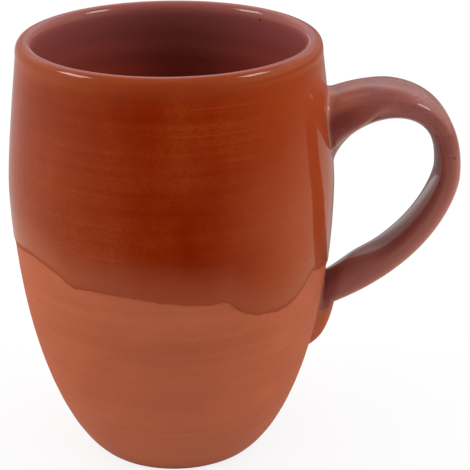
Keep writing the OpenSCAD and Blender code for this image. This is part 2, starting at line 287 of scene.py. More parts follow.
def glaze_edge(azimuth):
    """Height of the glaze's lower edge at an azimuth: the chosen places, rounded, with a fine ripple."""
    places = np.array(LINE_SHARES)
    # Every half degree, from a turn before to a turn after
    steps = np.arange(-360, 720, 0.5)
    raw = np.interp(steps % 360, places[:, 0], places[:, 1])
    weights = bell(np.arange(-LINE_ROUND, LINE_ROUND + 1), 0, LINE_SPREAD)
    share = np.convolve(raw, weights / weights.sum(), "same")
    a = np.radians(azimuth)
    first, second, third = (height * np.sin(count * a + start) for height, count, start in RIPPLES)
    ripple = first * np.sin(RIPPLE_SWELLS * a) + second + third
    return LINE_H + LINE_WAVE * np.interp(azimuth, steps, share) + ripple


# Meshes
def grid_faces(rows, columns, loop=False):
    """Quads of a grid of points that goes round, and back to its first row if loop."""
    i = np.arange(rows if loop else rows - 1)[:, None]
    j = np.arange(columns)[None, :]
    a = i * columns + j
    b = ((i + 1) % rows) * columns + j
    k = (j + 1) % columns
    faces = [a, a - j + k, b - j + k, b]
    return np.stack([np.broadcast_to(f, a.shape) for f in faces], axis=-1).reshape(-1, 4).tolist()


def solid(name, rows, material, loop=False, ends=(None, None), normals=None, sharp=(), shares=None):
    """A closed mesh from rows of points, closed by a point at each end or on itself.

    normals gives directions for whole rows, and sharp the rows that are edges. shares gives numbers from 0
    to 1 for the first rows, by name, for the material to read; they are 0 on the other rows.
    """
    rows = np.asarray(rows, float)
    m, n = rows.shape[:2]
    points = rows.reshape(-1, 3)
    faces = grid_faces(m, n, loop)
    if ends[0] is not None:
        points = np.vstack([points, ends[0], ends[1]])
        faces += [[(j + 1) % n, j, m * n] for j in range(n)]
        faces += [[(m - 1) * n + j, (m - 1) * n + (j + 1) % n, m * n + 1] for j in range(n)]
    mesh = bpy.data.meshes.new(name)
    mesh.from_pydata((points * MM).tolist(), [], faces)
    mesh.update()
    mesh.polygons.foreach_set("use_smooth", [True] * len(mesh.polygons))
    if len(sharp):
        ring = {tuple(sorted((r * n + j, r * n + (j + 1) % n))) for r in sharp for j in range(n)}
        for e in mesh.edges:
            if tuple(sorted(e.vertices)) in ring:
                e.use_edge_sharp = True
    if normals:
        given = np.zeros((len(points), 3))
        for row, vectors in normals.items():
            given[row * n:(row + 1) * n] = vectors
        mesh.normals_split_custom_set_from_vertices(given.tolist())
    for share_name, given_share in (shares or {}).items():
        share = np.zeros(len(points))
        share[:given_share.size] = given_share.reshape(-1)
        mesh.attributes.new(share_name, "FLOAT", "POINT").data.foreach_set("value", share)
    piece = bpy.data.objects.new(name, mesh)
    bpy.context.scene.collection.objects.link(piece)
    mesh.materials.append(material)
    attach(piece, "root")
    return piece


# Shader nodes
def fill(tree, node, inputs):
    """Inputs of a node, linked or set by name or number."""
    for key, value in inputs.items():
        if isinstance(value, bpy.types.NodeSocket):
            tree.links.new(value, node.inputs[key])
        else:
            node.inputs[key].default_value = value


def add(tree, kind, inputs=None, **settings):
    """A node with its settings and its inputs."""
    node = tree.nodes.new(kind)
    for key, value in settings.items():
        setattr(node, key, value)
    fill(tree, node, inputs or {})
    return node


def new_material(name):
    """A material with nothing but its output."""
    material = bpy.data.materials.new(name)
    material.use_nodes = True
    tree = material.node_tree
    tree.nodes.clear()
    return material, tree, add(tree, "ShaderNodeOutputMaterial")


def principled(name, make_inputs):
    """A material with one principled shader, whose inputs are made in its tree."""
    material, tree, output = new_material(name)
    shader = add(tree, "ShaderNodeBsdfPrincipled")
    fill(tree, shader, make_inputs(tree))
    fill(tree, output, {"Surface": shader.outputs["BSDF"]})
    return material


def calc(tree, operation, *values):
    """One operation on sockets or numbers."""
    return add(tree, "ShaderNodeMath", dict(enumerate(values)), operation=operation).outputs[0]


def product(tree, first, *others):
    for other in others:
        first = calc(tree, "MULTIPLY", first, other)
    return first


def total(tree, *parts):
    """Sum of sockets, each with its share."""
    result, *others = (calc(tree, "MULTIPLY", socket, share) for socket, share in parts)
    for other in others:
        result = calc(tree, "ADD", result, other)
    return result


def between(tree, value, low, high, to_low=0.0, to_high=1.0):
    made = add(tree, "ShaderNodeMapRange", {"Value": value, "From Min": low, "From Max": high,
                                            "To Min": to_low, "To Max": to_high})
    return made.outputs["Result"]


def blend(tree, factor, first, second):
    """A colour between two, each a colour or a socket."""
    first, second = (c if isinstance(c, bpy.types.NodeSocket) else (*c, 1) for c in (first, second))
    return add(tree, "ShaderNodeMix", {0: factor, 6: first, 7: second}, data_type="RGBA").outputs[2]


def place_of(tree, kind="Object"):
    """The place of a point of the surface, and its three parts by name."""
    place = add(tree, "ShaderNodeTexCoord").outputs[kind]
    return place, add(tree, "ShaderNodeSeparateXYZ", {0: place}).outputs


# Shares of a noise's seed by which it is moved along each axis
SEED_SHARES = (1.0, 0.7, 1.3)


def noise(tree, scale, stretch=(1, 1, 1), detail=3.0, roughness=0.5, seed=0.0):
    """Noise over the piece's own place, stretched along the axes."""
    place = add(tree, "ShaderNodeTexCoord").outputs["Object"]
    start = tuple(seed * share for share in SEED_SHARES)
    moved = add(tree, "ShaderNodeMapping", {"Vector": place, "Location": start, "Scale": stretch})
    made = add(tree, "ShaderNodeTexNoise", {"Vector": moved.outputs["Vector"], "Scale": scale,
                                            "Detail": detail, "Roughness": roughness})
    return made.outputs["Fac"]


def bump(tree, height, strength, distance):
    """A normal that follows a height, which counts for a distance in metres."""
    made = add(tree, "ShaderNodeBump", {"Height": height, "Strength": strength, "Distance": distance})
    return made.outputs["Normal"]


# Materials. Colours of the clay, and of its slip: pale, usual and dark
CLAY_TONES = ((0.395, 0.091, 0.032), (0.345, 0.070, 0.020), (0.27, 0.048, 0.013))
SLIP_TONES = ((0.33, 0.09, 0.045), (0.27, 0.065, 0.03), (0.2, 0.045, 0.02))
# Values of the clay's noise over which it pales, and over which specks and grain darken it by a share
CLAY_PALES = (0.38, 0.62)
SPECK_DARKENS, SPECK_SHARE = (0.70, 0.80), 0.55
GRAIN_DARKENS, GRAIN_SHARE = (0.35, 0.75), 0.25
# Its roughness changes with the clouds
CLAY_CLOUDS, CLAY_ROUGHNESS = (0.3, 0.7), (0.66, 0.8)


def clay_material(name, tones):
    """Bare fired clay: turning streaks, soft clouds, grog specks and a dry surface."""
    pale, usual, dark = tones

    def inputs(tree):
        streak = noise(tree, scale=9.0, stretch=(1.2, 1.2, 70.0), detail=4.0, roughness=0.6)
        cloud = noise(tree, scale=38.0, stretch=(1, 1, 1.6), roughness=0.55, seed=3.1)
        grain = noise(tree, scale=1900.0, detail=2.0, roughness=0.6, seed=1.7)
        speck = noise(tree, scale=620.0, detail=1.0, seed=5.3)
        tone = total(tree, (streak, 0.35), (cloud, 0.65))
        colour = blend(tree, between(tree, tone, *CLAY_PALES), usual, pale)
        colour = blend(tree, between(tree, speck, *SPECK_DARKENS, to_high=SPECK_SHARE), colour, dark)
        colour = blend(tree, between(tree, grain, *GRAIN_DARKENS, to_high=GRAIN_SHARE), colour, dark)
        height = total(tree, (grain, 0.35), (streak, 0.5), (speck, 0.2))
        return {
            "Base Color": colour,
            "Roughness": between(tree, cloud, *CLAY_CLOUDS, *CLAY_ROUGHNESS),
            "Specular IOR Level": 0.32,
            "Sheen Weight": 0.01,
            "Sheen Roughness": 0.5,
            "Normal": bump(tree, height, strength=0.35, distance=0.00012),
        }

    return principled(name, inputs)


# Weight of the glossy coat: usual, on the handle, where the glaze is thicker, and where the edge is worn
COAT = 0.8
HANDLE_COAT = 1.0
EDGE_COAT = 0.1
EDGE_WEAR = (0.96, 0.99)
# Values of the glaze's noise over which it turns from deep to usual and on to pale
USUAL_FROM, PALE_FROM = (0.40, 0.50), (0.50, 0.64)
# Values over which the dark grain, the light lines, which keep to some clouds, and the pits show, their
# shares, and their tones as a share of the palest or the deepest colour
DARK_GRAIN, DARK_GRAIN_SHARE = (0.42, 0.62), 0.5
LIGHT_LINE, LIGHT_LINE_CLOUDS = (0.62, 0.72), (0.46, 0.56)
LIGHT_LINE_SHARE, LIGHT_LINE_TONE_SHARE = 0.45, 1.35
PIT, PIT_TONE_SHARE = (0.865, 0.9), 0.5
# Colours of the coats: deep, usual and pale
OUTSIDE_TONES = ((0.172, 0.0105, 0.0006), (0.205, 0.018, 0.0014), (0.243, 0.031, 0.005))
INSIDE_TONES = ((0.175, 0.018, 0.008), (0.20, 0.024, 0.012), (0.23, 0.034, 0.018))
STRAP_TONES = ((0.205, 0.057, 0.047), (0.245, 0.077, 0.065), (0.28, 0.095, 0.081))


def glaze_material(name, tones, turns=(), shares=(), gloss=COAT):
    """Clear glaze over red clay: the clay's lines show through it, under one smooth glossy coat.

    Each of turns is an axis, two places along it in millimetres, and a colour: from the first place to the
    second, the glaze turns to that colour. Each of shares is the name of a share on the mesh and the colour
    that the glaze turns to there.
    """
    deep, usual, pale = tones

    def inputs(tree):
        streak = noise(tree, scale=9.0, stretch=(1.2, 1.2, 60.0), detail=5.0, roughness=0.65, seed=0.9)
        line = noise(tree, scale=16.0, stretch=(1, 1, 95.0), detail=2.0, seed=6.2)
        drip = noise(tree, scale=110.0, stretch=(1, 1, 0.05), detail=2.0, seed=8.4)
        cloud = noise(tree, scale=30.0, stretch=(1, 1, 1.3), seed=2.3)
        mottle = noise(tree, scale=260.0, detail=2.0, seed=4.1)
        grain = noise(tree, scale=1100.0, stretch=(1, 1, 1.4), detail=2.0, roughness=0.6, seed=5.9)
        pit = noise(tree, scale=640.0, detail=0.0, seed=7.7)
        tone = total(tree, (streak, 0.24), (cloud, 0.46), (mottle, 0.12), (drip, 0.18))
        colour = blend(tree, between(tree, tone, *USUAL_FROM), deep, usual)
        colour = blend(tree, between(tree, tone, *PALE_FROM), colour, pale)
        colour = blend(tree, between(tree, grain, *DARK_GRAIN, to_high=DARK_GRAIN_SHARE), colour, deep)
        where = product(tree, between(tree, line, *LIGHT_LINE), between(tree, cloud, *LIGHT_LINE_CLOUDS),
                        LIGHT_LINE_SHARE)
        colour = blend(tree, where, colour, tuple(LIGHT_LINE_TONE_SHARE * c for c in pale))
        for axis, (start, stop), turned_colour in turns:
            reached = between(tree, place_of(tree)[1][axis], start * MM, stop * MM)
            colour = blend(tree, reached, colour, turned_colour)
        for share_name, share_colour in shares:
            share = add(tree, "ShaderNodeAttribute", attribute_name=share_name).outputs["Fac"]
            colour = blend(tree, share, colour, share_colour)
        pits = between(tree, pit, *PIT)
        colour = blend(tree, pits, colour, tuple(PIT_TONE_SHARE * c for c in deep))
        worn = add(tree, "ShaderNodeAttribute", attribute_name="thin").outputs["Fac"]
        under = total(tree, (streak, 0.7), (mottle, 0.3))
        over = total(tree, (cloud, 0.6), (mottle, 0.05), (line, 0.02), (pits, -0.15))
        return {
            "Base Color": colour,
            "Roughness": 0.5,
            "Specular IOR Level": 0.0,
            "Coat Weight": between(tree, worn, *EDGE_WEAR, to_low=gloss, to_high=EDGE_COAT),
            "Coat Roughness": 0.06,
            "Coat IOR": 1.5,
            "Normal": bump(tree, under, strength=0.3, distance=0.0001),
            "Coat Normal": bump(tree, over, strength=0.25, distance=0.00025),
        }

    return principled(name, inputs)


# Where a coat turns to another colour, by X or by height, and the colour. Most of these colours are painted
# light and painted reflection
# The lip turns paler and oranger: partly where the glaze thins over it, and partly painted light on and just
# under the lip
RIM_Z, RIM_TONE = (lip_base - 3.0, CLAY_TOP), (0.24, 0.038, 0.010)
# Painted light: the outside glaze towards the handle's side is painted lighter, where the side light falls
PAINTED_SIDE_LIGHT_X, PAINTED_SIDE_LIGHT_TONE = (14.0, 48.0), (0.272, 0.042, 0.0105)
# Painted light: the inside's left and right walls, which the lamps light, are painted lighter and oranger
INNER_PAINTED_LIGHT_LEFT_X, INNER_PAINTED_LIGHT_RIGHT_X, INNER_PAINTED_LIGHT_TONE = (0.0, -24.0), (10.0, 36.0), (0.33, 0.042, 0.020)
# Painted reflection: the upper inside wall turns mauve-grey, like a reflection of the bright room, and it
# stays darker deeper down
INNER_REFLECTION_Z, INNER_REFLECTION_TONE = (CLAY_TOP - 28.0, CLAY_TOP - 6.0), (0.22, 0.056, 0.05)
# Painted reflection: the inner half of the lip is painted pinkish
BRIM_REFLECTION_Z, BRIM_REFLECTION_TONE = (CLAY_TOP - 3.0, CLAY_TOP - 1.0), (0.25, 0.068, 0.058)
# Painted light: the handle's coat near the pot is painted paler and oranger, like the lit patch on the
# collar's flare
ROOT_PAINTED_LIGHT_X, ROOT_PAINTED_LIGHT_TONE = (60.0, 53.0), (0.36, 0.10, 0.066)
# Painted light: the lower part of the strap is painted paler
STRAP_LOW_PAINTED_LIGHT_Z, STRAP_LOW_PAINTED_LIGHT_TONE = (101.0, 80.0), (0.31, 0.107, 0.086)
# Colours where a coat is thin at its line; where a painted highlight lies over a fold or an edge, the same
# colour also marking the thin coat at the tail's line; and where it pools, darkened also as painted shade
THIN_TONE = (0.25, 0.05, 0.021)
THIN_AND_HIGHLIGHT_TONE = (0.34, 0.125, 0.095)
POOL_AND_SHADE_TONE = (0.165, 0.034, 0.027)

bare_clay = clay_material("bare_clay", CLAY_TONES)
slip_clay = clay_material("slip", SLIP_TONES)
# The outside coat: painted light on its side towards the handle, and a paler lip that is partly painted
# light
outside_finish = glaze_material(
    "outside_glaze", OUTSIDE_TONES,
    turns=[("X", PAINTED_SIDE_LIGHT_X, PAINTED_SIDE_LIGHT_TONE), ("Z", RIM_Z, RIM_TONE)],
    shares=[("thin", THIN_TONE)])
# The inside coat: its sides are painted lighter as painted light, and its upper wall and the lip's inner
# half take a painted reflection
inside_finish = glaze_material(
    "inside_glaze", INSIDE_TONES,
    turns=[("X", INNER_PAINTED_LIGHT_LEFT_X, INNER_PAINTED_LIGHT_TONE), ("X", INNER_PAINTED_LIGHT_RIGHT_X, INNER_PAINTED_LIGHT_TONE),
           ("Z", INNER_REFLECTION_Z, INNER_REFLECTION_TONE), ("Z", BRIM_REFLECTION_Z, BRIM_REFLECTION_TONE)])
# The handle's coat: painted light near the pot and on the lower strap, painted highlights along the collar's
# edge and the fold, and painted shade where it pools and within the loop
handle_finish = glaze_material(
    "handle_glaze", STRAP_TONES,
    turns=[("X", ROOT_PAINTED_LIGHT_X, ROOT_PAINTED_LIGHT_TONE), ("Z", STRAP_LOW_PAINTED_LIGHT_Z, STRAP_LOW_PAINTED_LIGHT_TONE)],
    shares=[("pool_and_shade", POOL_AND_SHADE_TONE), ("thin", THIN_AND_HIGHLIGHT_TONE)], gloss=HANDLE_COAT)

# Lip and inside of the pot
azimuths = np.arange(COLUMNS) * 360 / COLUMNS
lip_mid_r = rim_r - WALL_T / 2
bend_h = FLOOR_BEND_SHARE * (CLAY_TOP + GLAZE_T)


def lip(angles, d):
    """Radii and heights over the lip, d off the clay; angle 0 is outside, 90 the crown, 180 inside."""
    a = np.radians(np.asarray(angles, float))
    out, up = power(np.cos(a), 2 / LIP_POWER), power(np.sin(a), 2 / LIP_POWER)
    return np.stack([lip_mid_r + (WALL_T / 2 + d) * out, lip_base + (LIP_H + d) * up], axis=-1)


def inner_wall(z, d):
    """Radius and height of the inside of the wall, d off the clay, level with outside height z."""
    out, up = wall_out(z)
    return wall_r(z) - (WALL_T + d) * out, z - (WALL_T + d) * up


def floor_curve(d):
    r, z = inner_wall(bend_h, d)
    out, up = wall_out(bend_h)
    drop = z - FLOOR_T - d
    return [
        (r, z),
        (r + FLOOR_SIDE_SHARE * drop * up, z - FLOOR_SIDE_SHARE * drop * out),
        (FLOOR_FLAT_SHARE * r, FLOOR_T + d),
        (0, FLOOR_T + d),
    ]


def inside_path(wall_steps, floor_steps, d):
    """Radii and heights from just under the lip to near the middle of the floor."""
    z = np.linspace(lip_base, bend_h, wall_steps)
    side = np.stack(inner_wall(z, d), axis=-1)
    side[0] = [lip_mid_r - WALL_T / 2 - d, lip_base]
    ground = bend(floor_curve(d), np.linspace(0, 1, floor_steps + 1)[1:-1])
    return np.vstack([side, ground])


def rows_of(path, relief=0.0):
    """Rows of points from a path of radii and heights; relief is added to the radius."""
    return turned(azimuths, path[:, :1] + relief, path[:, 1:])


# The grooves that the cutting wire left on the foot: arcs round a far point, squeezed and unsteady. Each
# drift is radians of phase and a length. They begin to fade and end this far inside the foot's edge
CUT_DEPTH = 0.16
CUT_PITCH = 2.4
CUT_FROM = (-34.0, -16.0)
CUT_SQUEEZE = 1.25
CUT_DRIFT_X, CUT_DRIFT_Y = (0.7, 5.0), (0.5, 7.0)
CUT_FADES, CUT_ENDS = 4.0, 1.5


def wire_cut(points):
    """Height of the grooves that the cutting wire left on the foot."""
    x, y = points[..., 0], points[..., 1]
    way = np.hypot(x - CUT_FROM[0], (y - CUT_FROM[1]) * CUT_SQUEEZE)
    drift = CUT_DRIFT_X[0] * np.sin(x / CUT_DRIFT_X[1]) + CUT_DRIFT_Y[0] * np.sin(y / CUT_DRIFT_Y[1])
    fade = 1 - ease(np.hypot(x, y), FOOT_R - CUT_FADES, FOOT_R - CUT_ENDS)
    return CUT_DEPTH * wave(2 * math.pi * way / CUT_PITCH + drift) * fade


# The thrown pot of bare clay. Its wall has close rows up to just above the glaze's highest place. The
# innermost row of its foot has a radius of its own, round the point that closes it
FOOT_MIDDLE_R = 0.6
FOOT_ROWS, FOOT_EDGE_ROWS, BARE_ROWS, COVERED_ROWS, LIP_ROWS = 40, 5, 86, 16, 19
BARE_ABOVE, COVERED_ABOVE = 2.0, 4.0
# The foot's rounded edge: how far it stands out, the height left between it and the wall, how far past the
# foot the wall begins when nothing has to be scaled, and the least and greatest share of that scaling
FOOT_EDGE_OUT, FOOT_EDGE_GAP, FOOT_EDGE_MEETS = 0.16, 0.7, 0.9
FOOT_EDGE_SHARES = (0.2, 1.0)


def make_pot():
    base = turned(azimuths, np.linspace(FOOT_MIDDLE_R, FOOT_R - FOOT_EDGE_R, FOOT_ROWS)[:, None], 0)
    base[..., 2] += wire_cut(base)
    bare_z = np.linspace(FOOT_EDGE_R + FOOT_EDGE_GAP, LINE_H + LINE_WAVE + BARE_ABOVE, BARE_ROWS)[:, None]
    bare = on_pot(azimuths, bare_z, thrown(azimuths, bare_z))
    corner = np.radians(np.linspace(-90, 0, FOOT_EDGE_ROWS + 1))[1:, None]
    edge_r = FOOT_R - FOOT_EDGE_R * (1 - np.cos(corner)) + FOOT_EDGE_OUT
    edge = turned(azimuths, edge_r, FOOT_EDGE_R * (1 + np.sin(corner)))
    follow = np.linspace(*FOOT_EDGE_SHARES, FOOT_EDGE_ROWS)[:, None, None]
    met_r = np.hypot(bare[0, :, 0], bare[0, :, 1]).mean()
    edge[..., :2] *= 1 + follow * (met_r / (FOOT_R + FOOT_EDGE_MEETS) - 1)
    covered_z = np.linspace(LINE_H + LINE_WAVE + COVERED_ABOVE, lip_base, COVERED_ROWS)[:, None]
    covered = on_pot(azimuths, covered_z, thrown(azimuths, covered_z))
    over = rows_of(lip(np.linspace(0, 180, LIP_ROWS + 2)[1:-1], 0))
    inside = rows_of(inside_path(*HIDDEN_STEPS, 0))
    rows = np.vstack([base, edge, bare, covered, over, inside])
    pot = solid("thrown_pot", rows[::-1], bare_clay,
                ends=((0, 0, FLOOR_T), (0, 0, wire_cut(np.zeros(3)))))
    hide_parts("pot_body")


# The glaze outside: a coat whose lower edge is rounded, with a small bead above it. It is a little thinner
# at the edge, paler up to some height, and shows a share of the clay's relief. Its back is in the clay
EDGE_H = 0.6
EDGE_RISES = (0, 0.03, 0.08, 0.16, 0.28, 0.42, 0.6, 0.9, 1.5, 2.5)
BEAD, BEAD_AT, BEAD_W = 0.04, 1.0, 0.7
EDGE_THIN_SHARE, EDGE_THIN_H = 0.15, 6.0
PALE_H = 16.0
SHOWN_SHARE = 0.4
COAT_ROWS, COAT_BACK_ROWS, COAT_LIP_ROWS, UNDER_LIP_STEP = 118, 14, 14, 3
COAT_SUNK = 0.02


def make_outside_glaze():
    low = glaze_edge(azimuths)
    span = lip_base - low
    near = np.array(EDGE_RISES)[:, None]
    far = np.linspace(0, 1, COAT_ROWS)[1:, None]
    rise = np.vstack([near + 0 * low, near[-1] + far * (span - near[-1])])
    z = low + rise
    rounded = np.where(rise < EDGE_H, np.sqrt(np.clip(1 - (1 - rise / EDGE_H) ** 2, 0, 1)), 1)
    bead = BEAD * np.exp(-((rise - BEAD_AT) / BEAD_W) ** 2)
    full = GLAZE_T * (1 - EDGE_THIN_SHARE * (1 - ease(rise, 0, EDGE_THIN_H)))
    outer = on_pot(azimuths, z, SHOWN_SHARE * thrown(azimuths, z) + (full + bead) * rounded)
    lip_angles = np.linspace(0, 90, COAT_LIP_ROWS + 1)[1:]
    over = rows_of(lip(lip_angles, GLAZE_T))
    under = rows_of(lip(lip_angles[::-UNDER_LIP_STEP], 0))
    back_z = low + np.linspace(1, 0, COAT_BACK_ROWS)[:, None] * span
    back = on_pot(azimuths, back_z, thrown(azimuths, back_z) - COAT_SUNK)
    crest = len(outer) + len(over) - 1
    rows = np.vstack([outer, over, under, back])
    coat = solid("outside_glaze_coat", rows, outside_finish, loop=True,
                 normals={crest: (0, 0, 1)}, sharp=(crest,), shares={"thin": 1 - ease(rise, 0, PALE_H)})
    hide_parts("outside_glaze")


def make_inside_glaze():
    """The coat inside, from the middle of the floor under it, over the lip and down to the middle again."""
    angles = np.linspace(90, 180, COAT_LIP_ROWS + 1)[:-1]
    path = inside_path(*SEEN_STEPS, GLAZE_T)
    fade = ease(lip_base - path[:, 1:], 0, INSIDE_END_H) * ease(path[:, :1], *INSIDE_START_R)
    seen = rows_of(path, -thrown_inside(azimuths, path[:, 1:]) * fade)
    under = rows_of(np.vstack([inside_path(*HIDDEN_STEPS, 0)[::-1], lip(angles[::-UNDER_LIP_STEP], 0)]))
    rows = np.vstack([under, rows_of(lip(angles, GLAZE_T)), seen])
    coat = solid("inside_glaze_coat", rows, inside_finish,
                 ends=((0, 0, FLOOR_T), (0, 0, FLOOR_T + GLAZE_T)),
                 normals={len(under): (0, 0, 1)}, sharp=(len(under),))
    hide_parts("inside_glaze")


# The strap: its middle line runs 0 to 1 over the shoulder and 1 to 2 back down to the pot
loop_h = ROOT_TOP_H - ROOT_LOW_H
reach_h = ROOT_LOW_H + APEX_SHARE * loop_h
top_r = float(wall_r(ROOT_TOP_H)) - WALL_T / 2
low_r = float(wall_r(ROOT_LOW_H)) - WALL_T / 2
out_r = top_r + REACH
shoulder_curve = [
    (top_r, ROOT_TOP_H),
    (top_r + LEAVE_OUT_SHARE * REACH, ROOT_TOP_H + LEAVE_UP_SHARE * loop_h),
    (out_r, reach_h + SHOULDER_SHARE * loop_h),
    (out_r, reach_h),
]
return_curve = [
    (out_r, reach_h),
    (out_r, reach_h - HIP_SHARE * loop_h),
    (mix(low_r, out_r, RETURN_OUT_SHARE), ROOT_LOW_H + RETURN_UP_SHARE * loop_h),
    (low_r, ROOT_LOW_H),
]


def pinched(t):
    return np.maximum(t - 2 + PINCH_SHARE, 0) / PINCH_SHARE


def middle(t):
    """Point of the strap's middle line, and its heading, in the plane of the handle."""
    t = np.asarray(t, float)
    first, final = np.clip(t, 0, 1), np.clip(t - 1, 0, 1)
    before, after = np.minimum(t, 0)[..., None], np.maximum(t - 2, 0)[..., None]
    over_shoulder = bend(shoulder_curve, first) + before * slope(shoulder_curve, 0)
    back_down = bend(return_curve, final) + after * slope(return_curve, 1)
    upper = (t < 1)[..., None]
    point = np.where(upper, over_shoulder, back_down)
    way = np.where(upper, slope(shoulder_curve, first), slope(return_curve, final))
    point = point + np.stack([0 * t, -DROOP_H * pinched(t) ** 2], axis=-1)
    way = way + np.stack([0 * t, -2 * DROOP_H / PINCH_SHARE * pinched(t)], axis=-1)
    return point, unit(way)


def strap_t(t):
    k = np.clip(t, 0, 2)
    return np.where(k < 1, mix(MID_T, TOP_T, (1 - k) ** 2), mix(MID_T, LOW_T, (k - 1) ** 2))


def strap_w(t):
    k = np.clip(t, 0, 2)
    low = mix(MID_W, LOW_W, k - 1) - (LOW_W - END_W) * pinched(k) ** 2
    return np.where(k < 1, mix(TOP_W, MID_W, k), low)


def around(a):
    """Degrees round the section from the middle of its outer face, either way."""
    return np.abs((a - 90 + 180) % 360 - 180)


def stretch(t, start, end):
    """1 along a stretch of the strap that sets in over start and ends over end."""
    return ease(t, *start) * (1 - ease(t, *end))


def fold_line(t, round_it):
    """The fold under the upper root, which turns to the strap's side on its way: 1 on it and 0 off it."""
    at = mix(FOLD_AT, FOLD_SIDE_AT, ease(t, *FOLD_TURN))
    return bell(round_it, at, FOLD_W) * (1 - ease(t, *FOLD_END))


def hand_marks(t, a):
    """Height of the groove, ridge and fold that the hand left on the strap, off its plain section."""
    round_it = around(a)
    dent = DENT_H * bell(round_it, DENT_AT, DENT_W) * stretch(t, DENT_START, DENT_END)
    ridge = RIDGE_H * bell(round_it, RIDGE_AT, RIDGE_W) * stretch(t, RIDGE_START, RIDGE_END)
    return FOLD_H * fold_line(t, round_it) + ridge - dent


def strap_skin(t, a, d):
    """A point of the strap's skin, d off the clay, at angle a round the section (90 is the outer face)."""
    m, h = middle(t)
    s, c = np.sin(np.radians(a)), np.cos(np.radians(a))
    side, face = power(c, 2 / SECTION_POWER), power(s, 2 / SECTION_POWER)
    dip = GROOVE_H * np.maximum(s, 0) ** GROOVE_POWER
    hump = HUMP_H * bell(t - 1, HUMP_AT_SHARE, HUMP_SPREAD_SHARE) * np.maximum(-s, 0)
    mark = hand_marks(t, a)
    out = (strap_t(t) / 2 + d + hump + mark) * face - dip
    across = (strap_w(t) / 2 + d + mark * np.abs(c)) * side
    return np.stack([m[..., 0] - h[..., 1] * out, across + 0 * out, m[..., 1] + h[..., 0] * out], axis=-1)


# Places on the pot's wall: side offset, height and distance off the wall
def wall_x(y, z):
    return np.sqrt(wall_r(z) ** 2 - y * y)


def off_wall(p):
    return p[..., 0] - wall_x(p[..., 1], p[..., 2])


def on_wall(q):
    """The point at a place on the wall."""
    return np.stack([wall_x(q[..., 0], q[..., 1]) + q[..., 2], q[..., 0], q[..., 1]], axis=-1)


def wall_place(p):
    """The place on the wall of a point."""
    return np.stack([p[..., 1], p[..., 2], off_wall(p)], axis=-1)


def flat(q, d):
    """A place on the wall, moved to distance d off it."""
    return np.stack([q[..., 0], q[..., 1], q[..., 0] * 0 + d], axis=-1)


def seek(a, gap, d, inner, outer):
    """Place along the strap where each strand is gap off the wall, by halving."""
    inner, outer = np.full(len(a), inner), np.full(len(a), outer)
    for _ in range(HALVINGS):
        t = (inner + outer) / 2
        near = off_wall(strap_skin(t, a, d)) < gap
        inner, outer = np.where(near, t, inner), np.where(near, outer, t)
    return (inner + outer) / 2


# The strands of the strap, by the angle round its section, and where each ends
strands = np.arange(STRANDS) * 360 / STRANDS
sin_a, cos_a = np.sin(np.radians(strands)), np.cos(np.radians(strands))
up_a, down_a = np.maximum(sin_a, 0), np.maximum(-sin_a, 0)
web = ease(down_a, WEB_FROM, WEB_FULL)
collar_gap = mix(mix(SIDE_OUT, WEB_OUT, web), TOP_OUT, up_a)
tail_gap = TAIL_T * mix(mix(TAIL_SIDE_SHARE, TAIL_CROTCH_SHARE, down_a), 1, up_a)
top_end = seek(strands, SLIP_T, 0, *TOP_ENDS)
collar_end = seek(strands, collar_gap, 0, *TOP_ENDS)
tail_end = seek(strands, tail_gap, 0, *LOW_ENDS)
low_end = seek(strands, SLIP_T, 0, *LOW_ENDS)
upper_root = wall_place(strap_skin(top_end, strands, 0))
lower_root = wall_place(strap_skin(low_end, strands, 0))


def collar_skin(s, d, foot_d):
    """Rows of the collar's skin from the strap, at s 0, to the wall, at s 1."""
    tip = wall_place(strap_skin(collar_end, strands, d))
    corner = wall_place(strap_skin(seek(strands, d, d, *TOP_ENDS), strands, d))
    aside = upper_root[:, 0] + COLLAR_SIDE * power(cos_a, COLLAR_POWER)
    height = upper_root[:, 1] + COLLAR_UP * up_a - mix(COLLAR_SIDE, COLLAR_DOWN, web) * down_a
    foot = np.stack([aside, height, 0 * sin_a + foot_d], axis=-1)
    return on_wall(bend([tip, flat(corner, foot_d), foot], s[:, None]))


def tail_skin(s, d):
    """Rows of the tail's skin from the strap, at s 0, to the wall, at s 1, d off the clay."""
    tip = wall_place(strap_skin(tail_end, strands, d))
    aside = (lower_root[:, 0] + (TAIL_SIDE + d) * cos_a) * (1 - TAIL_TAPER_SHARE * up_a)
    down = np.where(sin_a > 0, TAIL_L, TAIL_SIDE + d) * sin_a
    foot = np.stack([aside, lower_root[:, 1] - down, 0 * sin_a], axis=-1)
    corner = flat(lower_root, d)
    held = flat(mix(tip, foot, TAIL_HOLD_SHARE), TAIL_T + d)
    end = flat(mix(foot, tip, TAIL_END_SHARE), TAIL_END_OUT_SHARE * TAIL_T + d)
    u = up_a[:, None]
    return on_wall(bend([tip, mix(corner, held, u), mix(corner, end, u), foot], s[:, None]))


def tail_at(s, d):
    """One row of the tail's skin, with its own share s on each strand."""
    rows = tail_skin(np.linspace(0, 1, TAIL_STEPS), d)
    place = np.clip(s, 0, 1) * (TAIL_STEPS - 1)
    low = np.minimum(place.astype(int), TAIL_STEPS - 2)
    each = np.arange(STRANDS)
    return mix(rows[low, each], rows[low + 1, each], (place - low)[:, None])


def run(start, stop, steps, d):
    """Rows along the strap from one place on each strand to another."""
    return strap_skin(mix(start, stop, np.linspace(0, 1, steps)[:, None]), strands, d)


# How far a piece reaches into what it lies on, so that no gap shows: the strap, and the wall at its foot
STRAP_SUNK, WALL_SUNK = 0.05, 0.3
STRAP_ROWS = 220
TAIL_ROWS, TAIL_INNER_ROWS = 40, 6
COLLAR_ROWS, COLLAR_INNER_ROWS = 20, 5


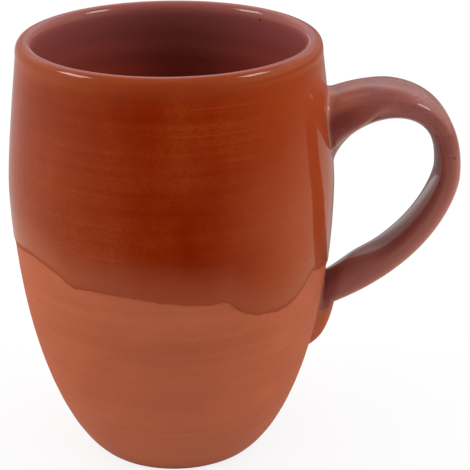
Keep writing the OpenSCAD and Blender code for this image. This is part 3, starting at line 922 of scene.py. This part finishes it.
def wiped(inner, skin, root):
    """Rows of clay wiped over a root: its inner side on the strap, its skin, and back in the wall."""
    foot = on_wall(wall_place(skin[-1]) - np.array([0, 0, WALL_SUNK]))
    return np.vstack([inner, skin, foot[None], on_wall(flat(root, -WALL_SUNK))[None]])


def make_strap():
    """The clay of the pulled strap, with the hand's marks, under its glaze."""
    skin = run(top_end, low_end, STRAP_ROWS, 0)
    strap = solid("pulled_strap", skin, bare_clay,
                  ends=(skin[0].mean(axis=0), skin[-1].mean(axis=0)))
    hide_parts("handle_strap")


def make_collar():
    """The clay wiped round the upper root, under the glaze."""
    skin = collar_skin(np.linspace(0, 1, COLLAR_ROWS), 0, 0)
    rows = wiped(run(top_end, collar_end, COLLAR_INNER_ROWS, -STRAP_SUNK), skin, upper_root)
    collar = solid("wiped_collar", rows[::-1], bare_clay, loop=True)
    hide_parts("upper_root_collar")


def make_tail():
    """The clay thumbed over the lower root and drawn down the wall."""
    skin = tail_skin(np.linspace(0, 1, TAIL_ROWS), 0)
    rows = wiped(run(low_end, tail_end, TAIL_INNER_ROWS, -STRAP_SUNK), skin, lower_root)
    tail = solid("thumbed_tail", rows, bare_clay, loop=True)
    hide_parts("lower_root_tail")


# What the handle's coat stays under its full thickness, so that it keeps inside the CAD box, and how far its
# foot and the foot of its back reach into the wall
COAT_SLACK = 0.02
COAT_FOOT_SUNK, COAT_BACK_SUNK = 0.5, 0.2
# Its rows over the collar, the strap and the tail. Its hidden back has fewer on the strap, every fifth of
# the collar's, and on the tail one at each of these shares
ON_COLLAR_ROWS, ON_STRAP_ROWS, ON_TAIL_ROWS, BACK_ROWS, BACK_STEP = 26, 260, 24, 50, 5
TAIL_BACK_SHARES = (1.0, 0.5)
# On the tail its edge is rounded from here on
ROUND_FROM = 0.6
# Where a painted highlight lies: round the collar's edge, at the sides only, and over the fold; and where
# the coat is thin, at the tail's line
EDGE_HIGHLIGHT_SHARE = 0.75
EDGE_HIGHLIGHT_AT_SHARE = 0.6
EDGE_HIGHLIGHT_SPREAD_SHARE = 0.1
EDGE_HIGHLIGHT_SIDES = (0.5, 0.9)
FOLD_HIGHLIGHT = 0.8
TAIL_THIN_FROM = 0.8
# Where it pools and is darkened as painted shade: on the sides of the upper root, by degrees and along the
# strap, and round the lower root, by distance off the wall; and as painted shade alone on the strap's inner
# face within the loop
POOL_SHADE_SIDE_AT = (55, 85)
POOL_SHADE_TOP_END = (0.14, 0.36)
POOL_SHADE_LOW_OUT = (3.0, 6.5)
POOL_SHADE_LOW_SHARE = 0.65
INNER_SHADE_SHARE = 0.6
INNER_SHADE_AT = (110, 140)
INNER_SHADE_START, INNER_SHADE_END = (0.6, 0.9), (1.6, 1.8)


def handle_shares(s, strap, k):
    """Where the coat is thin, where it takes a painted highlight, and where it pools and takes painted
    shade, on its rows over the collar, the strap and the tail.
    """
    t = mix(collar_end, tail_end, np.linspace(0, 1, len(strap) + 1)[1:, None])
    round_it = around(strands)
    # The collar's edge and the fold take a painted highlight through the share named thin, which is real
    # thinning only at the tail's line
    edge_highlight = bell(s, EDGE_HIGHLIGHT_AT_SHARE, EDGE_HIGHLIGHT_SPREAD_SHARE)[:, None] * ease(np.abs(cos_a), *EDGE_HIGHLIGHT_SIDES)
    at_line = ease(k, TAIL_THIN_FROM, 1)[:, None] + np.zeros(STRANDS)
    thin = [edge_highlight * EDGE_HIGHLIGHT_SHARE, FOLD_HIGHLIGHT * fold_line(t, round_it), at_line]
    # Darker where the coat pools at the roots, with painted shade there, and painted shade alone on the
    # inner face within the loop
    side = ease(round_it, *POOL_SHADE_SIDE_AT)
    near_wall = 1 - ease(off_wall(strap), *POOL_SHADE_LOW_OUT)
    at_roots = np.where(t < 1, side * (1 - ease(t, *POOL_SHADE_TOP_END)), near_wall * POOL_SHADE_LOW_SHARE)
    shade_in_loop = ease(round_it, *INNER_SHADE_AT) * stretch(t, INNER_SHADE_START, INNER_SHADE_END)
    pool_and_shade = [np.tile(side, (len(s), 1)), np.maximum(at_roots, INNER_SHADE_SHARE * shade_in_loop),
            np.full((len(k), STRANDS), POOL_SHADE_LOW_SHARE)]
    return {"thin": np.vstack(thin), "pool_and_shade": np.vstack(pool_and_shade)}


def make_handle_glaze():
    """The coat on the strap and its collar, which runs down on to the tail."""
    s = np.linspace(1, 0, ON_COLLAR_ROWS)
    collar = collar_skin(s, GLAZE_T - COAT_SLACK, GLAZE_T - 2 * COAT_SLACK)
    strap = run(collar_end, tail_end, ON_STRAP_ROWS, GLAZE_T - COAT_SLACK)[1:]
    # The line on the tail is lower at the sides than on the tail's back
    heights = tail_skin(np.linspace(0, 1, TAIL_STEPS + 1), GLAZE_T)[..., 2]
    below = heights < TAIL_LINE_H - TAIL_LINE_DROP * np.abs(cos_a) ** TAIL_LINE_POWER
    reach = np.where(below.any(axis=0), np.argmax(below, axis=0) / TAIL_STEPS, 1.0)
    k = np.linspace(0, 1, ON_TAIL_ROWS)[1:]
    past = np.maximum(k - ROUND_FROM, 0) / (1 - ROUND_FROM)
    thickness = GLAZE_T * np.sqrt(np.clip(1 - past ** 2, 0, 1))
    tail = np.stack([tail_at(step * reach, d) for step, d in zip(k, thickness)])
    back = np.vstack([
        np.stack([tail_at(step * reach, -STRAP_SUNK) for step in TAIL_BACK_SHARES]),
        run(tail_end, collar_end, BACK_ROWS, -STRAP_SUNK),
        collar_skin(s[::-BACK_STEP], -STRAP_SUNK, -COAT_BACK_SUNK),
        on_wall(wall_place(collar[0]) - np.array([0, 0, COAT_FOOT_SUNK]))[None],
    ])
    foot_out = unit(collar[0] * np.array([1, 1, 0]))
    coat = solid("handle_glaze_coat", np.vstack([collar, strap, tail, back]), handle_finish,
                 loop=True, normals={0: foot_out}, sharp=(0,), shares=handle_shares(s, strap, k))
    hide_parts("handle_glaze")


make_pot()
make_outside_glaze()
make_inside_glaze()
make_strap()
make_collar()
make_tail()
make_handle_glaze()

for node in ("upper_slip_joint", "lower_slip_joint"):
    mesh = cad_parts[node].data
    mesh.materials.clear()
    mesh.materials.append(slip_clay)

# The studio, in metres: a floor, a room that is brighter at the sides, and cloth that only reflections find.
# To the camera and in reflections the room is white, and the floor mostly is
WHITE, BLACK = (1, 1, 1, 1), (0, 0, 0)
FLOOR_WHITE = 0.82
FLOOR_ALBEDO = 0.8
FLOOR_HALF, FLOOR_DOWN = 3.0, 0.0001
ROOM_LIGHT = 0.81
SIDE_LIGHT = 2.4
SIDE_RAMP = (0.15, 0.85)
FRONT_SHARE = 0.08
FRONT_RAMP = (-0.95, -0.2)

# The cloth: a disc with a hole round the mug's foot, and a dome. Angles are counted from the front, either
# way. It is black in front, warm at the sides and pale behind, where it also pales with the height
CLOTH_FROM, CURTAIN_R, CURTAIN_TOP, CURTAIN_UP = 0.05, 1.5, 88, 0.001
CURTAIN_ROWS, CURTAIN_COLUMNS = 12, 96
CURTAIN_MIDDLE = 0.012
CURTAIN_ANGLES = np.radians((18, 85, 145))
WARM_TONE = (0.73, 0.48, 0.29)
PALE_TONE = (0.40, 0.35, 0.31)
BACK_TONE_ANGLES, BACK_TONE = np.radians((150, 168)), (0.44, 0.42, 0.45)
BACK_TONE_Z, BACK_LOW_TONE = (0.25, 0.55), (0.10, 0.09, 0.10)
# On the handle's side the low cloth darkens away from the mug, the roof is dark, and so is the cloth close
# behind the mug
RIGHT_X, RIGHT_FROM, RIGHT_Z, RIGHT_TONE = (0, 0.1), (0.28, 0.75), (0.25, 0.05), (0.10, 0.05, 0.02)
ROOF_Z, ROOF_TONE = (0.75, 1.42), (0.12, 0.09, 0.07)
NEAR_BACK_ANGLES, NEAR_BACK_TO, NEAR_BACK_TONE = np.radians((140, 160)), (0.30, 0.22), (0.03, 0.03, 0.03)
# It opens towards the back, by a share low down and wholly high up
CURTAIN_OPEN = 0.2
HIGH_Z, HIGH_ANGLES = (0.55, 0.8), np.radians((70, 120))
# Behind the mug and left of it, it is open near the floor, where the inside of the handle looks out
BACK_ANGLES, BACK_FROM, BACK_Z, BACK_X = np.radians((148, 162)), (0.24, 0.33), (0.50, 0.15), (-0.02, -0.06)


def stage_piece(name, points, faces, material, z):
    mesh = bpy.data.meshes.new(name)
    mesh.from_pydata(points, [], faces)
    mesh.materials.append(material)
    piece = bpy.data.objects.new(name, mesh)
    piece.location.z = z
    bpy.context.scene.collection.objects.link(piece)
    return piece


def seen_by_eye(tree):
    """1 for camera, glossy and transmission rays, which show the studio as the camera sees it."""
    path = add(tree, "ShaderNodeLightPath").outputs
    seen = calc(tree, "MAXIMUM", path["Is Camera Ray"], path["Is Glossy Ray"])
    return calc(tree, "MAXIMUM", seen, path["Is Transmission Ray"])


def mix_shaders(tree, factor, first, second):
    return add(tree, "ShaderNodeMixShader", {0: factor, 1: first, 2: second}).outputs[0]


def make_floor():
    material, tree, output = new_material("floor")
    white = add(tree, "ShaderNodeEmission", {"Color": WHITE, "Strength": 1.0}).outputs[0]
    albedo = (FLOOR_ALBEDO, FLOOR_ALBEDO, FLOOR_ALBEDO, 1)
    pale = add(tree, "ShaderNodeBsdfDiffuse", {"Color": albedo}).outputs[0]
    seen = mix_shaders(tree, FLOOR_WHITE, pale, white)
    fill(tree, output, {"Surface": mix_shaders(tree, seen_by_eye(tree), pale, seen)})
    corners = [(FLOOR_HALF * x, FLOOR_HALF * y, 0) for x, y in ((-1, -1), (1, -1), (1, 1), (-1, 1))]
    floor = stage_piece("floor", corners, [(0, 1, 2, 3)], material, -FLOOR_DOWN)


def make_curtain():
    material, tree, output = new_material("curtain")
    place, parts = place_of(tree)
    aside = calc(tree, "ABSOLUTE", calc(tree, "SUBTRACT", parts["X"], CURTAIN_MIDDLE))
    angle = calc(tree, "ARCTAN2", aside, calc(tree, "MULTIPLY", parts["Y"], -1.0))
    reach = add(tree, "ShaderNodeVectorMath", {0: place}, operation="LENGTH").outputs["Value"]
    dark, warm, thin = CURTAIN_ANGLES
    tone = blend(tree, between(tree, angle, dark, warm), BLACK, WARM_TONE)
    tone = blend(tree, between(tree, angle, warm, thin), tone, PALE_TONE)
    back = blend(tree, between(tree, parts["Z"], *BACK_TONE_Z), BACK_LOW_TONE, BACK_TONE)
    tone = blend(tree, between(tree, angle, *BACK_TONE_ANGLES), tone, back)
    right = product(tree, between(tree, reach, *RIGHT_FROM), between(tree, parts["X"], *RIGHT_X),
                    between(tree, parts["Z"], *RIGHT_Z))
    tone = blend(tree, right, tone, RIGHT_TONE)
    roof = between(tree, parts["Z"], *ROOF_Z)
    tone = blend(tree, roof, tone, ROOF_TONE)
    near_back = product(tree, between(tree, angle, *NEAR_BACK_ANGLES), between(tree, reach, *NEAR_BACK_TO))
    tone = blend(tree, near_back, tone, NEAR_BACK_TONE)
    low_open = between(tree, angle, warm, thin, to_high=CURTAIN_OPEN)
    high_open = between(tree, angle, *HIGH_ANGLES)
    high = between(tree, parts["Z"], *HIGH_Z)
    opened = add(tree, "ShaderNodeMix", {0: high, 2: low_open, 3: high_open}, data_type="FLOAT").outputs[0]
    opened = product(tree, opened, calc(tree, "SUBTRACT", 1.0, roof))
    behind = product(tree, between(tree, angle, *BACK_ANGLES), between(tree, reach, *BACK_FROM),
                     between(tree, parts["Z"], *BACK_Z), between(tree, parts["X"], *BACK_X))
    opened = calc(tree, "MAXIMUM", opened, behind)
    cloth = add(tree, "ShaderNodeBsdfDiffuse", {"Color": tone}).outputs[0]
    clear = add(tree, "ShaderNodeBsdfTransparent").outputs[0]
    fill(tree, output, {"Surface": mix_shaders(tree, opened, cloth, clear)})
    turn = np.radians(np.arange(CURTAIN_COLUMNS) * 360 / CURTAIN_COLUMNS)
    ring = np.stack([np.cos(turn), np.sin(turn), 0 * turn], axis=-1)
    up = np.array([0, 0, 1])
    rise = np.radians(np.linspace(0, CURTAIN_TOP, CURTAIN_ROWS))
    rows = [CLOTH_FROM * ring] + [CURTAIN_R * (math.cos(a) * ring + math.sin(a) * up) for a in rise]
    faces = grid_faces(len(rows), CURTAIN_COLUMNS)
    curtain = stage_piece("curtain", np.vstack(rows).tolist(), faces, material, CURTAIN_UP)
    for kind in ("camera", "diffuse", "transmission", "shadow", "volume_scatter"):
        setattr(curtain, "visible_" + kind, False)


def make_world():
    world = bpy.data.worlds.new("studio")
    bpy.context.scene.world = world
    world.use_nodes = True
    tree = world.node_tree
    tree.nodes.clear()
    output = add(tree, "ShaderNodeOutputWorld")
    way, parts = place_of(tree, "Generated")
    side = between(tree, calc(tree, "ABSOLUTE", parts["X"]), *SIDE_RAMP, ROOM_LIGHT, SIDE_LIGHT)
    front = between(tree, parts["Y"], *FRONT_RAMP, to_low=FRONT_SHARE)
    light = product(tree, side, front)
    room = add(tree, "ShaderNodeBackground", {"Color": WHITE, "Strength": light}).outputs[0]
    white = add(tree, "ShaderNodeBackground", {"Color": WHITE, "Strength": 1.0}).outputs[0]
    fill(tree, output, {"Surface": mix_shaders(tree, seen_by_eye(tree), room, white)})


# Each lamp's place, size and power. Both point at the mug, a little above its middle
LAMP_AIM = (0, 0, 0.08)
LEFT_PLACE, LEFT_SIZE, LEFT_POWER = (-0.861, -0.121, 0.80), (0.42, 0.3), 3.4
RIGHT_PLACE, RIGHT_SIZE, RIGHT_POWER = (0.805, -0.171, 0.851), (0.36, 0.3), 2.8


def lamp(name, place, size, power_w):
    data = bpy.data.lights.new(name, "AREA")
    data.shape = "RECTANGLE"
    data.size, data.size_y = size
    data.energy = power_w
    piece = bpy.data.objects.new(name, data)
    piece.location = place
    piece.rotation_euler = (Vector(LAMP_AIM) - Vector(place)).to_track_quat("-Z", "Y").to_euler()
    bpy.context.scene.collection.objects.link(piece)


make_floor()
make_curtain()
make_world()
lamp("left_lamp", LEFT_PLACE, LEFT_SIZE, LEFT_POWER)
lamp("right_lamp", RIGHT_PLACE, RIGHT_SIZE, RIGHT_POWER)

# The camera that was fitted to the photo
CAMERA_PLACE = (0.01934, -0.36901, 0.23164)
CAMERA_PITCH = 66.152
FOCAL_PIXELS = 1278.76
IMAGE_PIXELS = 470
SENSOR = 36.0
camera_data = bpy.data.cameras.new("camera")
camera_data.sensor_width = SENSOR
camera_data.lens = SENSOR * FOCAL_PIXELS / IMAGE_PIXELS
camera = bpy.data.objects.new("camera", camera_data)
camera.location = CAMERA_PLACE
camera.rotation_euler = (math.radians(CAMERA_PITCH), 0, 0)
bpy.context.scene.collection.objects.link(camera)
bpy.context.scene.camera = camera
bpy.context.scene.view_settings.view_transform = "Standard"
